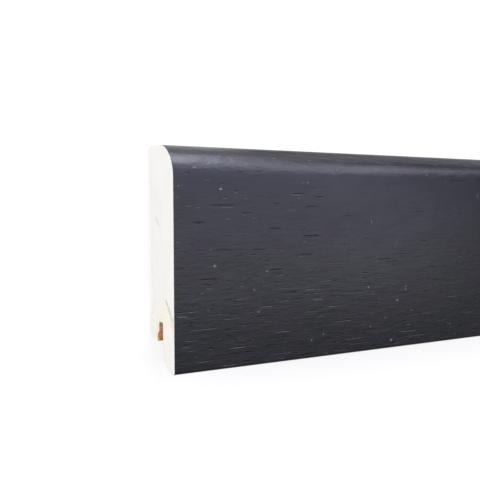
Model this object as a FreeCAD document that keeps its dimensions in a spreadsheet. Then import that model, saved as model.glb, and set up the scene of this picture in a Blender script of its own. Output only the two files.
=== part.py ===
"""A length of black-faced timber skirting board, planed from one piece of wood.

The board lies on its back, face up. X runs along the length, Y runs up the board from its foot
to its rounded top edge, and Z runs from the wall side, at zero, out to the face. The origin is
on the wall side, at the middle of the length and of the height. Every cut runs the whole length,
so each one is a section drawn on the YZ plane and carried along X, in the order in which a
moulder's cutters would take it. All sizes are in millimetres.
"""

import FreeCAD, Part
import os

import Sketcher

NODE = "skirting_board"

SIZES = {
    # The sawn blank
    "board_length": 2400.0,
    "board_height": 60.0,
    "board_thickness": 16.0,
    # The top edge: a wide round towards the room and a small one against the wall
    "top_round": 9.0,
    "wall_edge_round": 1.2,
    # The hollow back, which lets the board bear on two lands only
    "relief_depth": 1.8,
    "lower_land_top": 13.0,
    "lower_shoulder_run": 2.0,
    "lower_shoulder_round": 0.8,
    "upper_land_bottom": 51.6,
    "upper_shoulder_run": 5.2,
    "upper_shoulder_round": 6.0,
    # The toe carries the face down to the floor, and the heel behind it stops short
    "toe_thickness": 7.0,
    "toe_flat": 3.2,
    "toe_bevel_rise": 2.9,
    "toe_back_round": 1.0,
    "toe_sole_round": 4.0,
    "toe_face_round": 0.8,
    "heel_rise": 7.5,
    "heel_round": 4.8,
    # The groove between toe and heel that clips or a fixing rail hook into
    "groove_depth": 5.4,
    "groove_width": 2.4,
    "groove_mouth_width": 3.5,
    "groove_mouth_depth": 1.9,
    "groove_taper_run": 1.0,
    "groove_roof_round": 0.6,
}

FOOT = "-Sizes.board_height / 2"
TOP = "Sizes.board_height / 2"
WALL = "0"
FACE = "Sizes.board_thickness"
TOE_BACK = f"{FACE} - Sizes.toe_thickness"
HEEL_SOLE = f"{FOOT} + Sizes.heel_rise"
GROOVE_ROOF = f"{HEEL_SOLE} + Sizes.groove_depth"
GROOVE_BACK = f"{TOE_BACK} - Sizes.groove_width"
TOUCH = 1e-4


def make_sheet(doc):
    """The spreadsheet of driving sizes, one alias to a row."""
    sheet = doc.addObject("Spreadsheet::Sheet", "Sizes")
    for row, (alias, value) in enumerate(SIZES.items(), start=1):
        sheet.set(f"A{row}", alias)
        sheet.set(f"B{row}", str(value))
        sheet.setAlias(f"B{row}", alias)
    doc.recompute()
    return sheet


def draw_section(body, name, corners):
    """A closed sketch of straight lines on the YZ plane. Each corner is a (height, depth) pair of
    expressions, and two named distances from the origin tie it to the spreadsheet."""
    sketch = body.newObject("Sketcher::SketchObject", name)
    plane = next(p for p in body.Origin.OriginFeatures if p.Role == "YZ_Plane")
    sketch.AttachmentSupport = (plane, "")
    sketch.MapMode = "FlatFace"
    points = []
    for height, depth in corners:
        point = FreeCAD.Vector(sketch.evalExpression(height), sketch.evalExpression(depth), 0)
        points.append(point)
    count = len(points)
    for i in range(count):
        sketch.addGeometry(Part.LineSegment(points[i], points[(i + 1) % count]), False)
    for i in range(count):
        sketch.addConstraint(Sketcher.Constraint("Coincident", i, 2, (i + 1) % count, 1))
    for i, (height, depth) in enumerate(corners):
        pin(sketch, "DistanceX", i, points[i].x, f"height_{i}", height)
        pin(sketch, "DistanceY", i, points[i].y, f"depth_{i}", depth)
    return sketch


def pin(sketch, kind, line, value, name, expression):
    """Holds the start of one line at a distance from the origin that follows an expression."""
    index = sketch.addConstraint(Sketcher.Constraint(kind, -1, 1, line, 1, value))
    sketch.renameConstraint(index, name)
    sketch.setExpression(f"Constraints.{name}", expression)


def plane_blank(body):
    """The rectangular blank, spread evenly to both sides of the middle of its length."""
    blank = body.newObject("PartDesign::Pad", "Blank")
    blank.Profile = draw_section(
        body, "BlankSection", [(FOOT, WALL), (TOP, WALL), (TOP, FACE), (FOOT, FACE)]
    )
    blank.SideType = "Symmetric"
    blank.setExpression("Length", "Sizes.board_length")
    body.Document.recompute()


def cut_along(body, name, corners):
    """Takes a section out of the board over its whole length."""
    before = body.Shape.Volume
    cut = body.newObject("PartDesign::Pocket", name)
    cut.Profile = draw_section(body, f"{name}Section", corners)
    cut.SideType = "Symmetric"
    cut.setExpression("Length", "Sizes.board_length")
    body.Document.recompute()
    if body.Shape.Volume > before - TOUCH:
        raise RuntimeError(f"{name} took no wood away")


def round_along(body, name, size, corners):
    """Rounds the lengthwise edges that pass through the given section corners."""
    base = body.Tip
    wanted = []
    for height, depth in corners:
        wanted.append((base.evalExpression(height), base.evalExpression(depth)))
    edges = []
    for index, edge in enumerate(base.Shape.Edges, start=1):
        box = edge.BoundBox
        flat = max(box.YLength, box.ZLength) < TOUCH < box.XLength
        if flat and any(abs(box.YMin - y) + abs(box.ZMin - z) < TOUCH for y, z in wanted):
            edges.append(f"Edge{index}")
    if len(edges) != len(corners):
        raise RuntimeError(f"{name} found {len(edges)} of {len(corners)} edges")
    fillet = body.newObject("PartDesign::Fillet", name)
    fillet.Base = (base, edges)
    fillet.setExpression("Radius", f"Sizes.{size}")
    body.Document.recompute()


def hollow_the_back(body):
    """A shallow relief between the two lands, with sloping shoulders and eased corners."""
    low = f"{FOOT} + Sizes.lower_land_top"
    high = f"{FOOT} + Sizes.upper_land_bottom"
    floor = "Sizes.relief_depth"
    low_floor = f"{low} + Sizes.lower_shoulder_run"
    high_floor = f"{high} - Sizes.upper_shoulder_run"
    lower_shoulder = [(low, WALL), (low_floor, floor)]
    upper_shoulder = [(high_floor, floor), (high, WALL)]
    cut_along(body, "BackRelief", lower_shoulder + upper_shoulder)
    round_along(body, "LowerShoulderRound", "lower_shoulder_round", lower_shoulder)
    round_along(body, "UpperShoulderRound", "upper_shoulder_round", upper_shoulder)


def cut_heel_and_toe(body):
    """Shortens the heel, bevels the back of the toe and rounds both, so that only the front of
    the toe meets the floor."""
    cut_along(
        body,
        "HeelRebate",
        [(FOOT, WALL), (HEEL_SOLE, WALL), (HEEL_SOLE, TOE_BACK), (FOOT, TOE_BACK)],
    )
    sole_back = f"{FACE} - Sizes.toe_flat"
    bevel_top = f"{FOOT} + Sizes.toe_bevel_rise"
    cut_along(body, "ToeBevel", [(FOOT, sole_back), (bevel_top, TOE_BACK), (FOOT, TOE_BACK)])
    round_along(body, "ToeBackRound", "toe_back_round", [(bevel_top, TOE_BACK)])
    round_along(body, "ToeSoleRound", "toe_sole_round", [(FOOT, sole_back)])
    round_along(body, "ToeFaceRound", "toe_face_round", [(FOOT, FACE)])
    round_along(body, "HeelRound", "heel_round", [(HEEL_SOLE, WALL)])


def cut_clip_groove(body):
    """The groove up into the foot: its front wall runs on from the back of the toe, and its back
    wall tapers out to a wider mouth."""
    mouth_top = f"{HEEL_SOLE} + Sizes.groove_mouth_depth"
    taper_top = f"{mouth_top} + Sizes.groove_taper_run"
    mouth_back = f"{TOE_BACK} - Sizes.groove_mouth_width"
    cut_along(
        body,
        "ClipGroove",
        [
            (HEEL_SOLE, TOE_BACK),
            (GROOVE_ROOF, TOE_BACK),
            (GROOVE_ROOF, GROOVE_BACK),
            (taper_top, GROOVE_BACK),
            (mouth_top, mouth_back),
            (HEEL_SOLE, mouth_back),
        ],
    )
    round_along(
        body,
        "GrooveRoofRound",
        "groove_roof_round",
        [(GROOVE_ROOF, TOE_BACK), (GROOVE_ROOF, GROOVE_BACK)],
    )


def build(doc):
    """The whole board as one body."""
    make_sheet(doc)
    body = doc.addObject("PartDesign::Body", "Board")
    body.Label = NODE
    plane_blank(body)
    hollow_the_back(body)
    cut_heel_and_toe(body)
    cut_clip_groove(body)
    round_along(body, "TopRound", "top_round", [(TOP, FACE)])
    round_along(body, "WallEdgeRound", "wall_edge_round", [(TOP, WALL)])
    return body


def check(doc, body):
    """Stops on any feature that failed and on a shape that isn't one sound solid."""
    for item in doc.Objects:
        if "Invalid" in item.State or "Error" in item.State:
            raise RuntimeError(f"{item.Name} failed: {item.State}")
    shape = body.Shape
    if shape.isNull() or not shape.isValid() or len(shape.Solids) != 1:
        raise RuntimeError(f"{body.Label} isn't one valid solid")


def main():
    doc = FreeCAD.newDocument("Skirting")
    board = build(doc)
    doc.recompute()
    check(doc, board)
    os.makedirs("parts", exist_ok=True)
    board.Shape.exportStep(f"parts/{board.Label}.step")
    box = board.Shape.BoundBox
    print(f"{board.Label}: {box.XLength:.1f} x {box.YLength:.1f} x {box.ZLength:.1f} mm")
    print(f"volume {board.Shape.Volume / 1e6:.4f} litres")


main()
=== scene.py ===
import math
import random

import bmesh
import bpy
from mathutils import Matrix, Vector, noise


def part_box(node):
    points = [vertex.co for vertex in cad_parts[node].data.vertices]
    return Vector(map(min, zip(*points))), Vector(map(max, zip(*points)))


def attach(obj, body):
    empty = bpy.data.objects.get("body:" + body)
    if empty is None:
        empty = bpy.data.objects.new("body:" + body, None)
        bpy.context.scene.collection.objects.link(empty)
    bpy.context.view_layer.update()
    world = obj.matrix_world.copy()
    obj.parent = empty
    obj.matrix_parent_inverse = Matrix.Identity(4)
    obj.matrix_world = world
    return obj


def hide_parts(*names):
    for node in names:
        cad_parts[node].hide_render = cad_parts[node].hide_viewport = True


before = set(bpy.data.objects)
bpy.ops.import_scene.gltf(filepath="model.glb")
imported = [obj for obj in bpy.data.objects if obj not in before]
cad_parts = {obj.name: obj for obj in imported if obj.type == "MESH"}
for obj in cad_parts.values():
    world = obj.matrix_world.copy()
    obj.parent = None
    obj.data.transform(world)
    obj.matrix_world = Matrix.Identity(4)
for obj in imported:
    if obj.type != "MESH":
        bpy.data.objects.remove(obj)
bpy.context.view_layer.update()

MM = 0.001
LOW, HIGH = (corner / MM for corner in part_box("skirting_board"))

# Where the board lies, in millimetres: X along it, Y up it, Z out of its face
NEAR_END, FOOT, WALL = LOW
FAR_END, TOP, FACE = HIGH
LENGTH = FAR_END - NEAR_END

# Sizes of the planed section, in millimetres
TOP_ROUND = 9.0
WALL_EDGE_ROUND = 1.2
RELIEF_DEPTH = 1.8
LOWER_LAND_TOP = 13.0
LOWER_SHOULDER_RUN = 2.0
LOWER_SHOULDER_ROUND = 0.8
UPPER_LAND_BOTTOM = 51.6
UPPER_SHOULDER_RUN = 5.2
UPPER_SHOULDER_ROUND = 6.0
TOE_THICKNESS = 7.0
TOE_FLAT = 3.2
TOE_BEVEL_RISE = 2.9
TOE_BACK_ROUND = 1.0
TOE_SOLE_ROUND = 4.0
TOE_FACE_ROUND = 0.8
HEEL_RISE = 7.5
HEEL_ROUND = 4.8
GROOVE_DEPTH = 5.4
GROOVE_WIDTH = 2.4
GROOVE_MOUTH_WIDTH = 3.5
GROOVE_MOUTH_DEPTH = 1.9
GROOVE_TAPER_RUN = 1.0
GROOVE_ROOF_ROUND = 0.6

TOE_BACK = FACE - TOE_THICKNESS
HEEL_SOLE = FOOT + HEEL_RISE
GROOVE_ROOF = HEEL_SOLE + GROOVE_DEPTH
GROOVE_BACK = TOE_BACK - GROOVE_WIDTH
MOUTH_BACK = TOE_BACK - GROOVE_MOUTH_WIDTH
MOUTH_TOP = HEEL_SOLE + GROOVE_MOUTH_DEPTH

# The flat of the face and the length of the curve above it, up the surface from the foot
FLAT_FACE = TOP - TOP_ROUND - FOOT
ROUND_LENGTH = TOP_ROUND * math.pi / 2

# The rounds are bent in steps of about this many degrees
ROUND_STEP = 3

# The open pores of the wood run in rows that wander up and down, with gaps between the pores and
# wider ones between stretches of them. They stop short of the far end. All in millimetres.
ROW_SPACING = 1.45
ROW_WANDER = 0.75
WANDER_LENGTH = 60.0
PORE_SCATTER = 0.35
PORE_GAP = (0.4, 2.5)
STRETCH_GAP = (3.0, 8.0)
SHORTEST_PORE, LONGEST_PORE = 1.2, 10.2
STOP_SHORT = 8.0

# The pores crowd and thin out over broad soft patches of this size in millimetres. Their place in
# the noise is picked so that they lie as in the photograph.
PATCH_LENGTH = 110.0
PATCH_HEIGHT = 34.0
PATCH_PLACE = 236.877

# The photograph shows this much of the board's length, in millimetres. Specks are strewn over the
# rest of it, about one to 13 mm.
PHOTO_REACH = 118.0
STRAY_SPECKS = 170
SEED = 11

# The finish of each face, as the number of its material
# LIP is the pale grey lip of a pore, a painted highlight on its lower wall
COAT, BACK, END, GROOVE, PORE, LIP, NICK = range(7)


def linear(hex_colour):
    """The linear colour, with alpha, of an sRGB hex value."""
    parts = [int(hex_colour[i : i + 2], 16) / 255 for i in (1, 3, 5)]
    return [c / 12.92 if c <= 0.04045 else ((c + 0.055) / 1.055) ** 2.4 for c in parts] + [1.0]


def per_size(along, up, out):
    """The Mapping scale that gives a pattern these sizes, in millimetres along X, Y and Z."""
    return [1 / (size * MM) for size in (along, up, out)]


def add(tree, kind, feeds=None, **settings):
    """Adds a node with its settings, and feeds its sockets with values or with other sockets."""
    made = tree.nodes.new(kind)
    for name, value in settings.items():
        setattr(made, name, value)
    for name, value in (feeds or {}).items():
        if isinstance(value, bpy.types.NodeSocket):
            tree.links.new(value, made.inputs[name])
        else:
            made.inputs[name].default_value = value
    return made


def start_material(name):
    """A new material with an empty tree."""
    material = bpy.data.materials.new(name)
    material.use_nodes = True
    material.node_tree.nodes.clear()
    return material, material.node_tree


# Sockets of a Mix node that mixes colours
SHARE, FIRST, SECOND, MIXED = 0, 6, 7, 2


def stained_oak():
    """Oak stained black under satin lacquer: near-black with a cold cast, clouded here and there
    towards green or violet, and a low sheen that breaks up along the fibres."""
    material, tree = start_material("black_stained_oak")
    place = add(tree, "ShaderNodeTexCoord").outputs["Object"]
    # Stain takes unevenly in clouds about 7 mm long
    clouds_at = add(tree, "ShaderNodeMapping", {"Vector": place, "Scale": per_size(7, 4.5, 4.5)})
    clouds = add(
        tree, "ShaderNodeTexNoise", {"Vector": clouds_at.outputs[0], "Scale": 1.0, "Detail": 1.0}
    )
    cloud_share = add(
        tree, "ShaderNodeMapRange", {"Value": clouds.outputs[0], "From Min": 0.32, "From Max": 0.68}
    )
    cloudy = add(
        tree,
        "ShaderNodeMix",
        {SHARE: cloud_share.outputs[0], FIRST: linear("#0F1A1D"), SECOND: linear("#1B131D")},
        data_type="RGBA",
    )
    # Fibres are 0.1 mm wide, drawn at 0.5 mm so that they show
    fibres_at = add(tree, "ShaderNodeMapping", {"Vector": place, "Scale": per_size(14, 0.5, 0.5)})
    fibres = add(
        tree, "ShaderNodeTexNoise", {"Vector": fibres_at.outputs[0], "Scale": 1.0, "Detail": 3.0}
    )
    fibre_share = add(
        tree, "ShaderNodeMapRange", {"Value": fibres.outputs[0], "From Min": 0.4, "From Max": 0.66}
    )
    streaked = add(
        tree,
        "ShaderNodeMix",
        {SHARE: fibre_share.outputs[0], FIRST: cloudy.outputs[MIXED], SECOND: linear("#0E0F13")},
        data_type="RGBA",
    )
    # Fine pores between the open ones that are cut in the mesh: 0.1 mm wide, drawn at 0.3 mm so
    # that they show, and 3 mm long. Each has a thin lighter lip 0.22 mm below it, a painted
    # highlight where the pore's lower wall would catch the light.
    fine_width, lip_drop = 0.3, 0.22
    fine_size = per_size(3, fine_width, fine_width)
    pores_at = add(tree, "ShaderNodeMapping", {"Vector": place, "Scale": fine_size})
    pores = add(
        tree, "ShaderNodeTexNoise", {"Vector": pores_at.outputs[0], "Scale": 1.0, "Detail": 1.0}
    )
    lips_at = add(
        tree,
        "ShaderNodeMapping",
        {"Vector": place, "Scale": fine_size, "Location": (0, lip_drop / fine_width, 0)},
    )
    lips = add(
        tree, "ShaderNodeTexNoise", {"Vector": lips_at.outputs[0], "Scale": 1.0, "Detail": 1.0}
    )
    # They crowd towards the foot, and in patches as large as those of the open pores
    along, height = add(tree, "ShaderNodeSeparateXYZ", {0: place}).outputs[:2]
    lower = add(
        tree,
        "ShaderNodeMapRange",
        {
            "Value": height,
            "From Min": 15 * MM,
            "From Max": -12 * MM,
            "To Min": -0.09,
            "To Max": 0.01,
        },
    )
    patches_at = add(
        tree,
        "ShaderNodeMapping",
        {
            "Vector": place,
            "Scale": per_size(PATCH_LENGTH, PATCH_HEIGHT, PATCH_HEIGHT),
            "Location": (0, 0, 11.8),
        },
    )
    patches = add(tree, "ShaderNodeTexNoise", {"Vector": patches_at.outputs[0], "Scale": 1.0})
    patchy = add(
        tree,
        "ShaderNodeMapRange",
        {
            "Value": patches.outputs[0],
            "From Min": 0.35,
            "From Max": 0.65,
            "To Min": -0.07,
            "To Max": 0.03,
        },
    )
    crowded = add(tree, "ShaderNodeMath", {0: lower.outputs[0], 1: patchy.outputs[0]})
    lip_level = add(tree, "ShaderNodeMath", {0: lips.outputs[0], 1: crowded.outputs[0]})
    pore_level = add(tree, "ShaderNodeMath", {0: pores.outputs[0], 1: crowded.outputs[0]})
    lip_share = add(
        tree,
        "ShaderNodeMapRange",
        {"Value": lip_level.outputs[0], "From Min": 0.62, "From Max": 0.74, "To Max": 0.36},
    )
    # The lips' lighter grey is a painted highlight on the lower wall of each fine pore
    lipped = add(
        tree,
        "ShaderNodeMix",
        {SHARE: lip_share.outputs[0], FIRST: streaked.outputs[MIXED], SECOND: linear("#434654")},
        data_type="RGBA",
    )
    pits = add(
        tree,
        "ShaderNodeMapRange",
        {"Value": pore_level.outputs[0], "From Min": 0.6, "From Max": 0.72},
    )
    coat = add(
        tree,
        "ShaderNodeMix",
        {SHARE: pits.outputs[0], FIRST: lipped.outputs[MIXED], SECOND: linear("#050607")},
        data_type="RGBA",
    )
    # The lacquer shines more in the patches with few pores, and hardly at all in the pores. It
    # lies thin and dull on the crown of the rounding, but not over the last 10 mm or so before the
    # photographed end
    thick = add(
        tree,
        "ShaderNodeMapRange",
        {
            "Value": patches.outputs[0],
            "From Min": 0.3,
            "From Max": 0.7,
            "To Min": 0.57,
            "To Max": 0.44,
        },
    )
    crown = add(
        tree,
        "ShaderNodeMapRange",
        {
            "Value": along,
            "From Min": (NEAR_END + 8) * MM,
            "From Max": (NEAR_END + 28) * MM,
            "To Min": 0.5,
            "To Max": 0.04,
        },
    )
    # From about 60 mm on, the dull crown reaches further down the rounding
    reach = add(
        tree,
        "ShaderNodeMapRange",
        {
            "Value": along,
            "From Min": (NEAR_END + 60) * MM,
            "From Max": (NEAR_END + 90) * MM,
            "To Min": (TOP - 3) * MM,
            "To Max": (TOP - 5) * MM,
        },
    )
    thin = add(
        tree,
        "ShaderNodeMapRange",
        {
            "Value": height,
            "From Min": reach.outputs[0],
            "From Max": (TOP - 1) * MM,
            "To Min": thick.outputs[0],
            "To Max": crown.outputs[0],
        },
    )
    dulled = add(
        tree,
        "ShaderNodeMapRange",
        {"Value": pits.outputs[0], "To Min": thin.outputs[0], "To Max": 0.15},
    )
    # The lacquer follows the fibres a little, and lies in shallow waves about 4 x 1.2 mm, which
    # are three times as high on the rounding
    waves_at = add(tree, "ShaderNodeMapping", {"Vector": place, "Scale": per_size(4, 1.2, 1.2)})
    waves = add(
        tree, "ShaderNodeTexNoise", {"Vector": waves_at.outputs[0], "Scale": 1.0, "Detail": 2.0}
    )
    wave_height = add(
        tree,
        "ShaderNodeMapRange",
        {
            "Value": height,
            "From Min": (TOP - 9) * MM,
            "From Max": (TOP - 5) * MM,
            "To Min": 0.08 * MM,
            "To Max": 0.24 * MM,
        },
    )
    waved = add(
        tree,
        "ShaderNodeBump",
        {"Height": waves.outputs[0], "Strength": 0.5, "Distance": wave_height.outputs[0]},
    )
    ridged = add(
        tree,
        "ShaderNodeBump",
        {
            "Height": fibres.outputs[0],
            "Strength": 0.5,
            "Distance": 0.03 * MM,
            "Normal": waved.outputs[0],
        },
    )
    sheen = add(
        tree,
        "ShaderNodeMapRange",
        {
            "Value": clouds.outputs[0],
            "From Min": 0.3,
            "From Max": 0.7,
            "To Min": 0.27,
            "To Max": 0.32,
        },
    )
    shader = add(
        tree,
        "ShaderNodeBsdfPrincipled",
        {
            "Base Color": coat.outputs[MIXED],
            "Roughness": sheen.outputs[0],
            "IOR": 1.53,
            "Specular IOR Level": dulled.outputs[0],
            "Normal": ridged.outputs[0],
        },
    )
    add(tree, "ShaderNodeOutputMaterial", {"Surface": shader.outputs[0]})
    return material


def mottled_coat(name, grain, dark, light, roughness, ior):
    """A finish that is darker and lighter in soft spots of one size, in millimetres."""
    material, tree = start_material(name)
    place = add(tree, "ShaderNodeTexCoord").outputs["Object"]
    spot_size = per_size(grain, grain, grain)
    spots_at = add(tree, "ShaderNodeMapping", {"Vector": place, "Scale": spot_size})
    spots = add(tree, "ShaderNodeTexNoise", {"Vector": spots_at.outputs[0], "Scale": 1.0})
    colour = add(
        tree,
        "ShaderNodeMix",
        {SHARE: spots.outputs[0], FIRST: linear(dark), SECOND: linear(light)},
        data_type="RGBA",
    )
    shader = add(
        tree,
        "ShaderNodeBsdfPrincipled",
        {"Base Color": colour.outputs[MIXED], "Roughness": roughness, "IOR": ior},
    )
    add(tree, "ShaderNodeOutputMaterial", {"Surface": shader.outputs[0]})
    return material


def open_pore():
    """The walls of an open pore: the stain pools there, and the thin lacquer still shines."""
    return mottled_coat("stained_pore", 2, "#060608", "#101013", roughness=0.4, ior=1.48)


def pore_lip():
    """The lower lip of a pore in a dull grey: a painted highlight where the pore's lower wall would
    catch the light from above.
    """
    return mottled_coat("pore_lip_painted_highlight", 3, "#2D2D2F", "#666561", roughness=0.5, ior=1.48)


def scuffed_lacquer():
    """Small nicks and scuffs in the lacquer: dry, pale grey and matt."""
    return mottled_coat("scuffed_lacquer", 1, "#43474D", "#8E939A", roughness=0.7, ior=1.45)


def planed_pine():
    """Raw planed pine: pale cream and matt, with soft darker latewood lines along the length."""
    material, tree = start_material("raw_planed_pine")
    place = add(tree, "ShaderNodeTexCoord").outputs["Object"]
    # Growth rings about 3 mm apart
    rings_at = add(tree, "ShaderNodeMapping", {"Vector": place, "Scale": per_size(300, 3, 3)})
    rings = add(
        tree, "ShaderNodeTexNoise", {"Vector": rings_at.outputs[0], "Scale": 1.0, "Detail": 2.0}
    )
    ring_share = add(
        tree, "ShaderNodeMapRange", {"Value": rings.outputs[0], "From Min": 0.42, "From Max": 0.62}
    )
    wood = add(
        tree,
        "ShaderNodeMix",
        {SHARE: ring_share.outputs[0], FIRST: linear("#F2EBDB"), SECOND: linear("#DFCBA6")},
        data_type="RGBA",
    )
    # Fibres are 0.05 mm wide, drawn at 0.35 mm so that they show
    fibres_at = add(tree, "ShaderNodeMapping", {"Vector": place, "Scale": per_size(12, 0.35, 0.35)})
    fibres = add(
        tree, "ShaderNodeTexNoise", {"Vector": fibres_at.outputs[0], "Scale": 1.0, "Detail": 3.0}
    )
    fibre_share = add(
        tree,
        "ShaderNodeMapRange",
        {"Value": fibres.outputs[0], "From Min": 0.5, "From Max": 0.75, "To Max": 0.5},
    )
    colour = add(
        tree,
        "ShaderNodeMix",
        {SHARE: fibre_share.outputs[0], FIRST: wood.outputs[MIXED], SECOND: linear("#CDB58C")},
        data_type="RGBA",
    )
    ridged = add(
        tree,
        "ShaderNodeBump",
        {"Height": fibres.outputs[0], "Strength": 0.5, "Distance": 0.05 * MM},
    )
    shader = add(
        tree,
        "ShaderNodeBsdfPrincipled",
        {
            "Base Color": colour.outputs[MIXED],
            "Roughness": 0.75,
            "IOR": 1.5,
            "Normal": ridged.outputs[0],
        },
    )
    add(tree, "ShaderNodeOutputMaterial", {"Surface": shader.outputs[0]})
    return material


# Stains on the photographed end, round the groove, along the long crack and by a closed one above
# it, each as the distance up from the foot, the distance out from the wall side, the length and
# the width in millimetres, the angle in degrees off upright, and how much of which colour it has
STAINS = [
    (12.5, 9.5, 18.0, 11.0, 0.0, 0.6, "#FBF4E4"),
    (10.0, 7.4, 9.0, 6.0, 0.0, 0.8, "#F9E6CA"),
    (13.2, 14.9, 6.0, 3.6, 38.0, 0.75, "#F3E7D1"),
    (16.3, 13.2, 8.6, 1.7, 38.0, 0.42, "#D8CBB2"),
    (39.7, 5.9, 5.5, 1.9, 48.0, 0.6, "#E4E1D9"),
]


def sawn_end_grain():
    """End grain left by a fine saw: almost white, with faint rings, a fuzz of cut fibres and a
    few stains."""
    material, tree = start_material("sawn_end_grain")
    place = add(tree, "ShaderNodeTexCoord").outputs["Object"]
    # Growth rings about 3 mm apart, which cross the section on a slant
    rings_at = add(
        tree,
        "ShaderNodeMapping",
        {"Vector": place, "Scale": per_size(100, 9, 2.5), "Rotation": (math.radians(18), 0, 0)},
    )
    rings = add(
        tree, "ShaderNodeTexNoise", {"Vector": rings_at.outputs[0], "Scale": 1.0, "Detail": 1.0}
    )
    ring_share = add(
        tree, "ShaderNodeMapRange", {"Value": rings.outputs[0], "From Min": 0.35, "From Max": 0.65}
    )
    wood = add(
        tree,
        "ShaderNodeMix",
        {SHARE: ring_share.outputs[0], FIRST: linear("#F9F7F2"), SECOND: linear("#F6F4EC")},
        data_type="RGBA",
    )
    # Cut fibres, drawn at 0.6 mm so that they show
    fuzz_at = add(tree, "ShaderNodeMapping", {"Vector": place, "Scale": per_size(0.6, 0.6, 0.6)})
    fuzz = add(
        tree, "ShaderNodeTexNoise", {"Vector": fuzz_at.outputs[0], "Scale": 1.0, "Detail": 2.0}
    )
    fuzz_share = add(
        tree,
        "ShaderNodeMapRange",
        {"Value": fuzz.outputs[0], "From Min": 0.55, "From Max": 0.8, "To Max": 0.4},
    )
    colour = add(
        tree,
        "ShaderNodeMix",
        {SHARE: fuzz_share.outputs[0], FIRST: wood.outputs[MIXED], SECOND: linear("#E9E2D4")},
        data_type="RGBA",
    )
    deep = 10
    for up, out, long, wide, turn, share, tint in STAINS:
        stain_at = add(
            tree,
            "ShaderNodeMapping",
            {
                "Vector": place,
                "Location": Vector((NEAR_END, FOOT + up, WALL + out)) * MM,
                "Rotation": (math.radians(-turn), 0, 0),
                "Scale": Vector((deep, long / 2, wide / 2)) * MM,
            },
            vector_type="TEXTURE",
        )
        stain = add(
            tree, "ShaderNodeTexGradient", {0: stain_at.outputs[0]}, gradient_type="SPHERICAL"
        )
        faded = add(
            tree,
            "ShaderNodeMapRange",
            {"Value": stain.outputs["Fac"], "From Max": 0.6, "To Max": share},
        )
        colour = add(
            tree,
            "ShaderNodeMix",
            {SHARE: faded.outputs[0], FIRST: colour.outputs[MIXED], SECOND: linear(tint)},
            data_type="RGBA",
        )
    rough = add(
        tree,
        "ShaderNodeBump",
        {"Height": fuzz.outputs[0], "Strength": 0.5, "Distance": 0.05 * MM},
    )
    shader = add(
        tree,
        "ShaderNodeBsdfPrincipled",
        {
            "Base Color": colour.outputs[MIXED],
            "Roughness": 0.85,
            "IOR": 1.45,
            "Normal": rough.outputs[0],
        },
    )
    add(tree, "ShaderNodeOutputMaterial", {"Surface": shader.outputs[0]})
    return material


def browned_groove():
    """Wood that the grooving cutter rubbed brown: golden at the mouth, reddish further up and a
    dull olive-brown under the roof, with streaks along the board."""
    material, tree = start_material("cutter_browned_wood")
    place = add(tree, "ShaderNodeTexCoord").outputs["Object"]
    streaks_at = add(tree, "ShaderNodeMapping", {"Vector": place, "Scale": per_size(10, 1.2, 1.2)})
    streaks = add(
        tree, "ShaderNodeTexNoise", {"Vector": streaks_at.outputs[0], "Scale": 1.0, "Detail": 2.0}
    )
    spot = add(tree, "ShaderNodeSeparateXYZ", {0: place})
    reddish = add(
        tree,
        "ShaderNodeMapRange",
        {
            "Value": spot.outputs["Y"],
            "From Min": (HEEL_SOLE + 0.5) * MM,
            "From Max": (HEEL_SOLE + 1.7) * MM,
        },
    )
    # The last millimetre before the photographed end is paler
    pale = add(
        tree,
        "ShaderNodeMapRange",
        {
            "Value": spot.outputs["X"],
            "From Min": (NEAR_END + 0.9) * MM,
            "From Max": (NEAR_END + 0.1) * MM,
        },
    )
    mouth = add(
        tree,
        "ShaderNodeMix",
        {SHARE: pale.outputs[0], FIRST: linear("#B48C40"), SECOND: linear("#F1EBA9")},
        data_type="RGBA",
    )
    lower = add(
        tree,
        "ShaderNodeMix",
        {SHARE: reddish.outputs[0], FIRST: mouth.outputs[MIXED], SECOND: linear("#F6B594")},
        data_type="RGBA",
    )
    dulled = add(
        tree,
        "ShaderNodeMapRange",
        {
            "Value": spot.outputs["Y"],
            "From Min": (GROOVE_ROOF - 1.8) * MM,
            "From Max": (GROOVE_ROOF - 0.9) * MM,
        },
    )
    upper = add(
        tree,
        "ShaderNodeMix",
        {SHARE: dulled.outputs[0], FIRST: lower.outputs[MIXED], SECOND: linear("#B0A682")},
        data_type="RGBA",
    )
    # Torn fibres hang half a millimetre down from the roof
    torn = add(
        tree,
        "ShaderNodeMapRange",
        {
            "Value": spot.outputs["Y"],
            "From Min": (GROOVE_ROOF - 0.75) * MM,
            "From Max": (GROOVE_ROOF - 0.3) * MM,
        },
    )
    fuzzy = add(
        tree,
        "ShaderNodeMix",
        {SHARE: torn.outputs[0], FIRST: upper.outputs[MIXED], SECOND: linear("#F3E6CF")},
        data_type="RGBA",
    )
    streak_share = add(
        tree,
        "ShaderNodeMapRange",
        {"Value": streaks.outputs[0], "From Min": 0.45, "From Max": 0.75, "To Max": 0.5},
    )
    colour = add(
        tree,
        "ShaderNodeMix",
        {SHARE: streak_share.outputs[0], FIRST: fuzzy.outputs[MIXED], SECOND: linear("#C08A55")},
        data_type="RGBA",
    )
    shader = add(
        tree,
        "ShaderNodeBsdfPrincipled",
        {"Base Color": colour.outputs[MIXED], "Roughness": 0.8, "IOR": 1.5},
    )
    add(tree, "ShaderNodeOutputMaterial", {"Surface": shader.outputs[0]})
    return material


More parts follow.
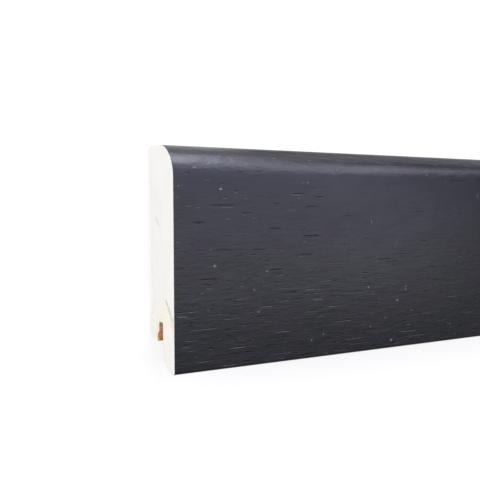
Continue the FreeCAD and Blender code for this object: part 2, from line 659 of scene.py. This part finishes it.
def section_corners():
    """The section's sharp corners, from the foot of the face round the back to the top, each as
    height, depth and the radius that rounds it."""
    low = FOOT + LOWER_LAND_TOP
    high = FOOT + UPPER_LAND_BOTTOM
    relief = WALL + RELIEF_DEPTH
    return [
        (FOOT, FACE, TOE_FACE_ROUND),
        (FOOT, FACE - TOE_FLAT, TOE_SOLE_ROUND),
        (FOOT + TOE_BEVEL_RISE, TOE_BACK, TOE_BACK_ROUND),
        (GROOVE_ROOF, TOE_BACK, GROOVE_ROOF_ROUND),
        (GROOVE_ROOF, GROOVE_BACK, GROOVE_ROOF_ROUND),
        (MOUTH_TOP + GROOVE_TAPER_RUN, GROOVE_BACK, 0.0),
        (MOUTH_TOP, MOUTH_BACK, 0.0),
        (HEEL_SOLE, MOUTH_BACK, 0.0),
        (HEEL_SOLE, WALL, HEEL_ROUND),
        (low, WALL, LOWER_SHOULDER_ROUND),
        (low + LOWER_SHOULDER_RUN, relief, LOWER_SHOULDER_ROUND),
        (high - UPPER_SHOULDER_RUN, relief, UPPER_SHOULDER_ROUND),
        (high, WALL, UPPER_SHOULDER_ROUND),
        (TOP, WALL, WALL_EDGE_ROUND),
        (TOP, FACE, TOP_ROUND),
    ]


def lengthwise_edge(bm, y, z):
    """The edge that runs along the board through one corner of the section."""
    touch = 0.01
    for edge in bm.edges:
        first, second = (v.co / MM for v in edge.verts)
        runs_along = abs(first.x - second.x) > LENGTH / 2
        if runs_along and math.hypot(first.y - y, first.z - z) < touch:
            return edge
    raise ValueError(f"no edge at {y}, {z}")


def plane_board():
    """The board's mesh: the section is drawn at the near end, pulled along X and rounded. Only
    the rounds are shaded smooth."""
    bm = bmesh.new()
    corners = section_corners()
    ring = [bm.verts.new(Vector((NEAR_END, y, z)) * MM) for y, z, radius in corners]
    pulled = bmesh.ops.extrude_face_region(bm, geom=[bm.faces.new(ring)])
    far_ring = [item for item in pulled["geom"] if isinstance(item, bmesh.types.BMVert)]
    bmesh.ops.translate(bm, verts=far_ring, vec=Vector((LENGTH, 0, 0)) * MM)
    bmesh.ops.recalc_face_normals(bm, faces=bm.faces)
    for y, z, radius in corners:
        if radius == 0:
            continue
        edge = lengthwise_edge(bm, y, z)
        turn = edge.calc_face_angle()
        rounded = bmesh.ops.bevel(
            bm,
            geom=[edge],
            offset=radius * math.tan(turn / 2) * MM,
            segments=max(2, round(math.degrees(turn) / ROUND_STEP)),
            profile=0.5,
            affect="EDGES",
            material=-1,
        )
        for face in rounded["faces"]:
            face.smooth = True
    for face in bm.faces:
        face.material_index = finish_of(face)
    return bm


def finish_of(face):
    """The finish that a face of the planed board gets, from where it lies and faces."""
    middle = face.calc_center_median() / MM
    margin = 0.1
    if abs(face.normal.x) > 0.9:
        return END
    up_the_groove = HEEL_SOLE + margin < middle.y < GROOVE_ROOF + margin
    if up_the_groove and MOUTH_BACK - margin < middle.z < TOE_BACK + margin:
        return GROOVE
    on_top = middle.y > FOOT + FLAT_FACE and middle.z > WALL + WALL_EDGE_ROUND - margin
    if middle.z > FACE - TOE_FACE_ROUND or on_top:
        return COAT
    return BACK


def coat_point(along, up):
    """A point of the coated side, from its distance past the near end and up the surface from
    the foot, with the angle by which the side leans back there."""
    lean = max(0.0, up - FLAT_FACE) / TOP_ROUND
    y = FOOT + min(up, FLAT_FACE) + TOP_ROUND * math.sin(lean)
    z = FACE - TOP_ROUND + TOP_ROUND * math.cos(lean)
    return Vector((NEAR_END + along, y, z)), lean


def crowding(along, up):
    """How closely the pores stand at a place, from 0 to 1. They thin out towards the top."""
    patch = noise.noise(Vector((along / PATCH_LENGTH, up / PATCH_HEIGHT, PATCH_PLACE)))
    level = 0.6 - 0.7 * up / FLAT_FACE
    return min(1.0, max(0.0, level + patch))


# Marks of the coated side that stand out near the photographed end: dark open pores, light dashes,
# which are shallow pores whose pale grey paints the highlight on their lower walls, and specks and
# scuffs in the lacquer. Each is the distance from that end, the distance up the surface from the
# foot, the length and the width, all in millimetres, and the angle in degrees by which it is turned
# off the grain.
DARK_PORES = [
    (14.4, 44.0, 9.0, 0.25, 0.0),
    (4.3, 52.4, 1.9, 0.19, 0.0),
    (19.9, 52.9, 2.4, 0.27, 2.0),
    (25.7, 54.2, 1.6, 0.19, 0.0),
    (25.9, 53.2, 1.8, 0.19, 0.0),
    (15.3, 46.2, 2.0, 0.21, -4.0),
    (23.0, 46.3, 1.8, 0.19, -3.0),
    (18.7, 47.8, 2.1, 0.25, 3.0),
    (30.9, 37.6, 4.4, 0.24, 0.0),
    (21.9, 41.9, 4.2, 0.21, 0.0),
    (43.2, 35.3, 7.2, 0.27, 0.0),
    (41.1, 30.1, 6.0, 0.25, 0.0),
    (46.0, 46.4, 4.0, 0.21, 0.0),
    (43.4, 43.7, 5.0, 0.21, 0.0),
    (38.7, 47.3, 5.2, 0.18, 0.0),
    (14.2, 58.6, 0.9, 0.35, 60.0),
    (16.2, 57.4, 1.3, 0.3, 0.0),
    (46.2, 58.0, 1.3, 0.25, 0.0),
]
HIGHLIGHT_DASHES = [
    (4.3, 43.7, 2.0, 0.2, 0.0),
    (7.1, 43.3, 1.3, 0.25, 0.0),
    (15.9, 43.35, 4.2, 0.22, 0.0),
    (15.1, 45.7, 1.7, 0.25, 0.0),
    (21.6, 45.7, 1.2, 0.22, 0.0),
    (37.9, 46.85, 5.0, 0.22, 0.0),
    (38.9, 45.8, 1.2, 0.25, 0.0),
    (40.4, 50.3, 1.8, 0.22, 0.0),
    (36.6, 42.6, 3.2, 0.18, 0.0),
    (15.9, 40.3, 2.2, 0.25, 0.0),
    (20.9, 41.35, 1.8, 0.2, -3.0),
    (24.0, 40.5, 0.9, 0.3, -14.0),
    (1.2, 34.4, 1.1, 0.22, 0.0),
    (1.3, 46.0, 1.1, 0.2, 0.0),
    (10.0, 50.6, 2.2, 0.2, 0.0),
    (21.7, 52.9, 0.8, 0.35, 8.0),
    (23.0, 52.5, 1.3, 0.22, 0.0),
    (25.0, 53.7, 0.6, 0.2, 0.0),
    (3.7, 51.9, 1.1, 0.22, 0.0),
    (18.6, 47.3, 1.5, 0.22, 0.0),
    (10.6, 32.3, 0.9, 0.25, 0.0),
    (41.2, 33.7, 1.6, 0.25, 0.0),
    (33.1, 31.3, 0.8, 0.2, 0.0),
    (39.6, 29.4, 2.1, 0.25, 0.0),
    (32.5, 24.4, 2.7, 0.2, 0.0),
    (10.2, 22.0, 1.8, 0.28, 0.0),
    (20.2, 22.0, 1.3, 0.22, 0.0),
    (8.1, 20.8, 1.2, 0.25, 0.0),
    (42.8, 19.9, 4.2, 0.25, 0.0),
    (19.6, 18.5, 2.5, 0.2, 0.0),
    (45.6, 16.8, 4.3, 0.2, 0.0),
    (2.3, 15.05, 3.9, 0.22, -2.0),
]
SPECKS = [
    (13.8, 48.2, 1.3, 0.7, 8.0),
    (6.1, 53.8, 0.9, 0.5, -35.0),
    (6.6, 53.8, 0.8, 0.4, 50.0),
    (1.5, 48.9, 0.6, 0.45, 0.0),
    (42.1, 50.4, 0.9, 0.5, -10.0),
    (11.9, 27.9, 1.2, 0.8, 10.0),
    (28.2, 25.8, 0.8, 0.5, 20.0),
    (24.1, 20.8, 0.8, 0.5, -15.0),
    (25.5, 14.7, 0.7, 0.5, 30.0),
    (75.8, 14.7, 1.2, 0.7, -20.0),
    (65.2, 7.4, 0.8, 0.5, 0.0),
    (73.4, 2.6, 1.3, 0.8, 12.0),
    (64.3, 19.4, 0.7, 0.5, 60.0),
    (79.3, 18.8, 1.1, 0.35, 40.0),
    (79.3, 17.9, 1.1, 0.35, -40.0),
    (43.3, 5.2, 0.8, 0.4, 0.0),
    (47.5, 6.6, 0.7, 0.4, 15.0),
    (71.1, 9.7, 0.8, 0.4, 25.0),
    (52.9, 54.2, 1.7, 0.3, 88.0),
    (51.6, 53.5, 1.0, 0.3, 80.0),
    (88.3, 53.6, 1.8, 0.3, 100.0),
    (110.8, 47.2, 2.0, 0.25, 85.0),
    (65.5, 39.0, 1.6, 0.25, 95.0),
    (5.7, 56.8, 1.0, 0.3, 0.0),
    (10.2, 57.7, 1.0, 0.3, -10.0),
    (15.2, 58.7, 0.5, 0.4, 80.0),
    (19.8, 57.1, 0.9, 0.35, 10.0),
    (32.2, 57.6, 1.1, 0.3, 5.0),
    (41.9, 60.7, 0.6, 0.5, 60.0),
    (44.0, 57.4, 0.9, 0.3, 0.0),
]

# Marks of the photographed end: the pieces of one long crack, fibres torn out over the groove, and
# ticks. Each is the distance up from the foot, the distance out from the wall side, the length and
# the width in millimetres, and the angle in degrees off upright. No mark may touch another.
CRACKS = [
    (18.6, 11.15, 1.3, 0.12, 42.0),
    (16.45, 13.1, 2.9, 0.14, 42.0),
    (14.45, 14.9, 1.8, 0.1, 42.0),
]
TORN = [(13.5, 7.3, 1.1, 0.35, 8.0), (13.6, 8.4, 1.2, 0.35, -10.0), (14.8, 7.9, 0.9, 0.3, 15.0)]
TICKS = [(18.1, 12.0, 0.65, 0.3, 30.0), (14.8, 2.3, 0.8, 0.2, 0.0)]


def pore_rows(rng):
    """The open pores, row by row up the face and over most of the rounding, as marks like the
    ones listed above. Most are short, and the crowded ones are wider."""
    marks = []
    highest = FLAT_FACE + ROUND_LENGTH * 0.95
    for row in range(1, int(highest / ROW_SPACING)):
        level = row * ROW_SPACING
        along = rng.uniform(0.5, 6.0)
        while along < LENGTH - STOP_SHORT:
            crowded = crowding(along, level)
            chance = 0.04 + 0.95 * crowded
            if rng.random() > chance:
                along += rng.uniform(*STRETCH_GAP)
                continue
            long = SHORTEST_PORE + (LONGEST_PORE - SHORTEST_PORE) * rng.random() ** 2
            drift = ROW_WANDER * noise.noise(Vector((along / WANDER_LENGTH, row * 0.3, 9.0)))
            up = level + drift + rng.uniform(-PORE_SCATTER, PORE_SCATTER)
            wide = rng.uniform(0.13, 0.2 + 0.28 * crowded)
            marks.append((along + long / 2, up, long, wide, rng.uniform(-1.5, 1.5)))
            along += long + rng.uniform(*PORE_GAP)
    return marks


def stray_specks(rng):
    """Specks and scuffs over the rest of the board, like the ones listed above."""
    marks = []
    for _ in range(STRAY_SPECKS):
        along = rng.uniform(PHOTO_REACH, LENGTH - 4)
        up = rng.uniform(2, FLAT_FACE + 4)
        long, wide = rng.uniform(0.6, 1.3), rng.uniform(0.35, 0.8)
        marks.append((along, up, long, wide, rng.uniform(-60, 60)))
    return marks


def keep_clear(marks, others):
    """The marks that stay clear of all the others, which are a gap away from them along the grain
    or lie well above or below them."""
    gap, apart = 0.3, 0.9
    kept = []
    for mark in marks:
        along, up, long = mark[:3]
        clear = all(
            abs(along - other[0]) > (long + other[2]) / 2 + gap or abs(up - other[1]) > apart
            for other in others
        )
        if clear:
            kept.append(mark)
    return kept


def by_length(marks, limit):
    """The marks that are at least so long, and the shorter ones."""
    long = [mark for mark in marks if mark[2] >= limit]
    short = [mark for mark in marks if mark[2] < limit]
    return long, short


def on_coat(along, up, turn):
    """The place of a mark on the coated side, as the matrix that lays a cutter on it."""
    point, lean = coat_point(along, up)
    leaned = Matrix.Translation(point * MM) @ Matrix.Rotation(-lean, 4, "X")
    return leaned @ Matrix.Rotation(math.radians(turn), 4, "Z")


def on_end(up, out, turn):
    """The place of a mark on the photographed end, as the matrix that lays a cutter on it."""
    point = Vector((NEAR_END, FOOT + up, WALL + out))
    upright = Matrix(((0, 0, -1), (1, 0, 0), (0, -1, 0))).to_4x4()
    return Matrix.Translation(point * MM) @ upright @ Matrix.Rotation(math.radians(turn), 4, "Z")


# The two kinds of cutter, a slim and a stubby one: how many sides and rings a form with a radius
# of 1 has, and half its width at the surface that it is set in and its depth below that
SLIM = (3, 3, 0.471, 0.816)
STUBBY = (4, 2, 0.95, 0.95)


def cutter(name, kind, finish, lip=None, slant=0.0):
    """A closed form with a radius of 1, with its ends on X and a keel below that can lie nearer
    the foot. The side that leaves the wall there can have a finish of its own. Half its width and
    its depth come with it."""
    sides, rings, half_width, keel = kind
    keel_below, turned_to_foot = -0.5, -0.3
    bm = bmesh.new()
    turned = Matrix.Rotation(-math.pi / 2, 4, "X") @ Matrix.Rotation(math.pi / 2, 4, "Y")
    bmesh.ops.create_uvsphere(bm, u_segments=sides, v_segments=rings, radius=1, matrix=turned)
    for vert in bm.verts:
        if vert.co.z < keel_below:
            vert.co.y -= slant
    bmesh.ops.recalc_face_normals(bm, faces=bm.faces)
    for face in bm.faces:
        face.material_index = finish
        # The lower wall of the cut can take the lip finish, a pale grey that paints the highlight
        # it would catch from above
        if lip is not None and face.normal.y < turned_to_foot:
            face.material_index = lip
    mesh = bpy.data.meshes.new(name)
    bm.to_mesh(mesh)
    bm.free()
    return mesh, half_width, keel


def set_cutters(bm, tool, marks, steepness, lay=on_coat):
    """Sets one copy of a cutter at each mark, with its ends just above the surface. The
    steepness is a cut's depth over half its width."""
    mesh, half_width, keel = tool
    ends_above = 0.05
    for first, second, long, wide, turn in marks:
        across = wide / 2 / half_width
        down = wide / 2 * steepness / keel
        matrix = (
            lay(first, second, turn)
            @ Matrix.Translation((0, 0, ends_above * down * MM))
            @ Matrix.Diagonal((long / 2 * MM, across * MM, down * MM, 1))
        )
        copy = mesh.copy()
        copy.transform(matrix)
        bm.from_mesh(copy)
        bpy.data.meshes.remove(copy)


def mark_cutters():
    """Everything that is cut into the coated side and the end, as one mesh of small closed forms.
    Pores differ in depth, and many have a lip in a pale grey, a painted highlight on their lower
    wall."""
    rng = random.Random(SEED)
    specks = SPECKS + stray_specks(rng)
    pores = keep_clear(pore_rows(rng), DARK_PORES + HIGHLIGHT_DASHES + specks)
    slit = cutter("slit", SLIM, PORE, slant=0.28)
    # The lipped cutters and the light dashes paint the highlight on a pore's lower wall in a pale
    # grey
    lipped_slit = cutter("lipped_slit", SLIM, PORE, LIP, slant=0.2)
    chip = cutter("chip", STUBBY, PORE, slant=0.28)
    lipped_chip = cutter("lipped_chip", STUBBY, PORE, LIP, slant=0.2)
    highlight_dash = cutter("highlight_dash", SLIM, LIP)
    scuff = cutter("scuff", STUBBY, NICK)
    torn = cutter("torn", SLIM, BACK)
    bm = bmesh.new()
    dark, lipped = by_length(DARK_PORES, 3)
    set_cutters(bm, slit, dark, 0.7)
    set_cutters(bm, lipped_slit, lipped, 0.7)
    long, short = by_length(pores, 2)
    set_cutters(bm, lipped_slit, long[::2], 0.6)
    set_cutters(bm, slit, long[1::4], 0.6)
    set_cutters(bm, slit, long[3::4], 0.35)
    set_cutters(bm, lipped_chip, short[::3], 0.5)
    set_cutters(bm, chip, short[1::3], 0.6)
    set_cutters(bm, chip, short[2::3], 0.35)
    set_cutters(bm, highlight_dash, HIGHLIGHT_DASHES, 0.35)
    set_cutters(bm, scuff, specks, 0.2)
    set_cutters(bm, slit, CRACKS, 1.5, on_end)
    set_cutters(bm, torn, TORN, 0.3, on_end)
    set_cutters(bm, chip, TICKS, 0.8, on_end)
    return bm


def as_object(name, bm, materials):
    """A bmesh as an object at the origin, with its material slots."""
    mesh = bpy.data.meshes.new(name)
    bm.to_mesh(mesh)
    bm.free()
    for material in materials:
        mesh.materials.append(material)
    made = bpy.data.objects.new(name, mesh)
    bpy.context.scene.collection.objects.link(made)
    return made


def carve(board, cutters):
    """Cuts the cutters out of the board for good and throws them away."""
    cut = board.modifiers.new("carve", "BOOLEAN")
    cut.operation = "DIFFERENCE"
    cut.solver = "MANIFOLD"
    cut.object = cutters
    depsgraph = bpy.context.evaluated_depsgraph_get()
    carved = bpy.data.meshes.new_from_object(board.evaluated_get(depsgraph))
    board.modifiers.clear()
    board.data = carved
    bpy.data.objects.remove(cutters)


def part_smooth_from_flat(mesh):
    """Marks every edge of a flat face sharp, so that it doesn't tilt the shading of the rounds."""
    bm = bmesh.new()
    bm.from_mesh(mesh)
    for edge in bm.edges:
        edge.smooth = all(face.smooth for face in edge.link_faces)
    bm.to_mesh(mesh)
    bm.free()


def dressed_board():
    """The board with its pores, nicks and finishes. The materials are in the order of their
    numbers."""
    materials = [
        stained_oak(),
        planed_pine(),
        sawn_end_grain(),
        browned_groove(),
        open_pore(),
        pore_lip(),
        scuffed_lacquer(),
    ]
    board = as_object("board", plane_board(), materials)
    carve(board, as_object("cutters", mark_cutters(), materials))
    part_smooth_from_flat(board.data)
    return board


def put_camera():
    """The camera, where the photograph was taken from: in millimetres from the near end, the
    foot and the face, and turned in degrees along the board, downwards and about its own axis."""
    beyond_end, above_foot, before_face = 78.36, 42.02, 168.29
    turn, dip, roll = (math.radians(a) for a in (30.218, 2.188, -0.24))
    focal_pixels, frame_pixels, sensor = 723.9, 480, 36.0
    level = math.cos(dip)
    ahead = Vector((math.sin(turn) * level, -math.sin(dip), -math.cos(turn) * level))
    right = Vector((math.cos(turn), 0, math.sin(turn)))
    up = right.cross(ahead)
    side = right * math.cos(roll) + up * math.sin(roll)
    head = up * math.cos(roll) - right * math.sin(roll)
    lens = bpy.data.cameras.new("camera")
    lens.sensor_width = sensor
    lens.lens = focal_pixels / frame_pixels * sensor
    lens.clip_start = 0.01
    lens.clip_end = 50.0
    camera = bpy.data.objects.new("camera", lens)
    bpy.context.scene.collection.objects.link(camera)
    place = Vector((NEAR_END - beyond_end, FOOT + above_foot, FACE + before_face)) * MM
    facing = Matrix((side, head, -ahead)).transposed().to_4x4()
    camera.matrix_world = Matrix.Translation(place) @ facing
    bpy.context.scene.camera = camera


def soft_light(name, centre, aim, size, level, colour="#FFFFFF"):
    """A soft panel light. Its level is the brightness of its face, where 1 is white."""
    lamp = bpy.data.lights.new(name, "AREA")
    lamp.shape = "RECTANGLE"
    lamp.size, lamp.size_y = size
    lamp.color = linear(colour)[:3]
    lamp.energy = level * math.pi * size[0] * size[1]
    made = bpy.data.objects.new(name, lamp)
    bpy.context.scene.collection.objects.link(made)
    made.location = centre
    made.rotation_euler = (Vector(aim) - Vector(centre)).to_track_quat("-Z", "Y").to_euler()


def light_studio():
    """Soft panels about a metre from the near end, in metres, under an even grey sky: a broad cold
    one above with a narrow white one beside it, a bright tall strip low beyond the top edge, a
    dimmer panel between, and a fill for the sawn end."""
    near = NEAR_END * MM
    here = (near + 0.05, 0, FACE * MM)
    across = near + 0.42
    soft_light("overhead", (across, 0.48, 1.0), (across, 0.48, 0), (1.45, 1.02), 1.75, "#D8DAFF")
    soft_light("overhead_low", (across, -0.08, 1.0), (across, -0.08, 0), (1.45, 0.1), 1.85)
    soft_light("window_strip", (near + 0.436, 0.979, 0.338), here, (0.17, 0.66), 10.2, "#E9EAFF")
    soft_light("side_panel", (near + 0.66, 0.76, 0.55), here, (0.56, 0.5), 3.3, "#E9EAFF")
    soft_light("end_fill", (near - 1.1, 0.1, 0.5), (near, 0, 0), (1.3, 1.0), 3.5)
    world = bpy.data.worlds.new("studio")
    bpy.context.scene.world = world
    world.use_nodes = True
    world.node_tree.nodes.clear()
    sky = add(world.node_tree, "ShaderNodeBackground", {"Color": (1, 1, 1, 1), "Strength": 0.2})
    add(world.node_tree, "ShaderNodeOutputWorld", {"Surface": sky.outputs[0]})


def lay_floor():
    """A plain white floor. What the camera and shiny things see of it is lifted to white, and it
    keeps the board's shadow."""
    metres_each_way = 30.0
    bm = bmesh.new()
    bmesh.ops.create_grid(bm, x_segments=1, y_segments=1, size=metres_each_way)
    material, tree = start_material("floor_paper")
    path = add(tree, "ShaderNodeLightPath")
    shiny = add(
        tree,
        "ShaderNodeMath",
        {0: path.outputs["Is Glossy Ray"], 1: path.outputs["Is Transmission Ray"]},
        operation="MAXIMUM",
    )
    seen = add(
        tree,
        "ShaderNodeMath",
        {0: path.outputs["Is Camera Ray"], 1: shiny.outputs[0]},
        operation="MAXIMUM",
    )
    lifted = add(tree, "ShaderNodeMapRange", {"Value": seen.outputs[0], "To Max": 0.75})
    paper = add(tree, "ShaderNodeBsdfDiffuse", {"Color": linear("#A2A2A2")})
    glow = add(tree, "ShaderNodeEmission", {"Strength": lifted.outputs[0]})
    both = add(tree, "ShaderNodeAddShader", {0: paper.outputs[0], 1: glow.outputs[0]})
    add(tree, "ShaderNodeOutputMaterial", {"Surface": both.outputs[0]})
    as_object("floor", bm, [material])


def main():
    put_camera()
    light_studio()
    lay_floor()
    board = dressed_board()
    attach(board, "root")
    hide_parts("skirting_board")
    bpy.context.scene.view_settings.view_transform = "Standard"


main()
